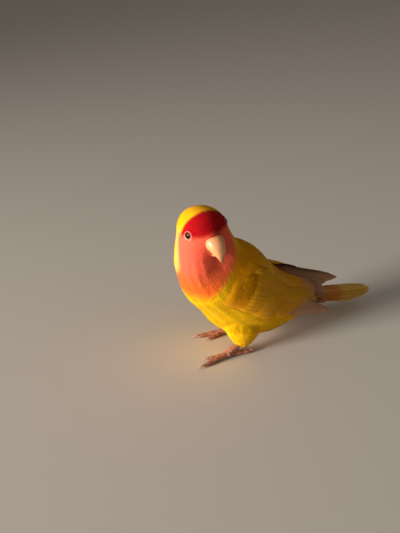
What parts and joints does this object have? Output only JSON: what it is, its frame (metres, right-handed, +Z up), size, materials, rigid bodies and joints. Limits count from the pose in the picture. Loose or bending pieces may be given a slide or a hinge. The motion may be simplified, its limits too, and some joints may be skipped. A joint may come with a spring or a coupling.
{
  "type": "peach faced lovebird",
  "caption": "Still, life-size small parrot with a short tail, standing low on both feet with its head turned over its left side.",
  "frame": {"origin": "on the ground under the middle of the bird's box", "axes": "+X to the bird's left, +Y towards its tail, +Z up"},
  "size_m": [0.051, 0.153, 0.1028],
  "materials": {
    "yellow_plumage": "soft satin feathers",
    "face_plumage": "soft satin feathers, red on the forehead and salmon below",
    "wing_feathers": "satin vanes, yellow with pale long feathers",
    "tail_feathers": "satin vanes, yellow with an orange red base",
    "bill": "smooth horn, half gloss",
    "bare_skin": "fine soft skin",
    "foot_skin": "scaly dry skin",
    "claw": "smooth horn",
    "eye": "wet gloss"
  },
  "bodies": {
    "root": {"torso": "yellow_plumage", "neck": "face_plumage", "head": "face_plumage", "upper_bill": "bill", "lower_bill": "bill", "cere": "bare_skin", "eye_left": "eye", "eye_right": "eye", "wing_left": "wing_feathers", "wing_right": "wing_feathers", "tail": "tail_feathers", "thigh_left": "yellow_plumage", "shank_left": "foot_skin", "foot_left": "foot_skin", "claw_left_outer_front": "claw", "claw_left_inner_front": "claw", "claw_left_outer_back": "claw", "claw_left_inner_back": "claw", "thigh_right": "yellow_plumage", "shank_right": "foot_skin", "foot_right": "foot_skin", "claw_right_outer_front": "claw", "claw_right_inner_front": "claw", "claw_right_outer_back": "claw", "claw_right_inner_back": "claw"}
  },
  "joints": []
}
